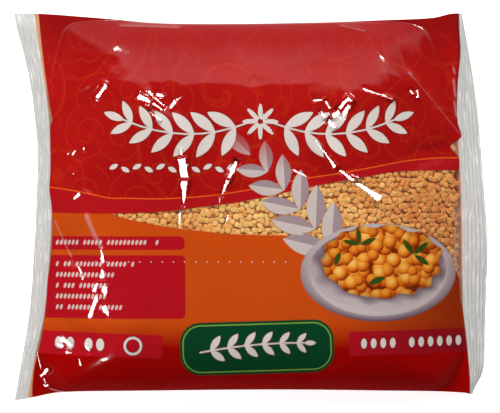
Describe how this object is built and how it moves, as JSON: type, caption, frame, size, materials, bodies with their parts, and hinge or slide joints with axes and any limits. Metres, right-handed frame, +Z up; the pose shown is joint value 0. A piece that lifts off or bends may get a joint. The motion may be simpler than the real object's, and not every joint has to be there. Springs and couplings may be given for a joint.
{
  "type": "bag of lentils",
  "caption": "Large sealed pillow bag of red split lentils: glossy printed film with a clear window, crimped end seals, lying on its back with the print up.",
  "frame": {"origin": "on the surface that the bag lies on, under the centre of its bounding box", "axes": "+Z up, out of the printed front; +X from one end seal to the other, to the viewer's right of the print; +Y towards the top of the print"},
  "size_m": [0.3418, 0.2804, 0.0533],
  "materials": {
    "printed_film": "glossy crimson and orange print on thin plastic film, with a clear window, clear margins and crimped clear end seals",
    "lentils": "dry red split lentils, salmon orange, matt with a faint sheen"
  },
  "bodies": {
    "root": {"bag": "printed_film"}
  },
  "joints": []
}
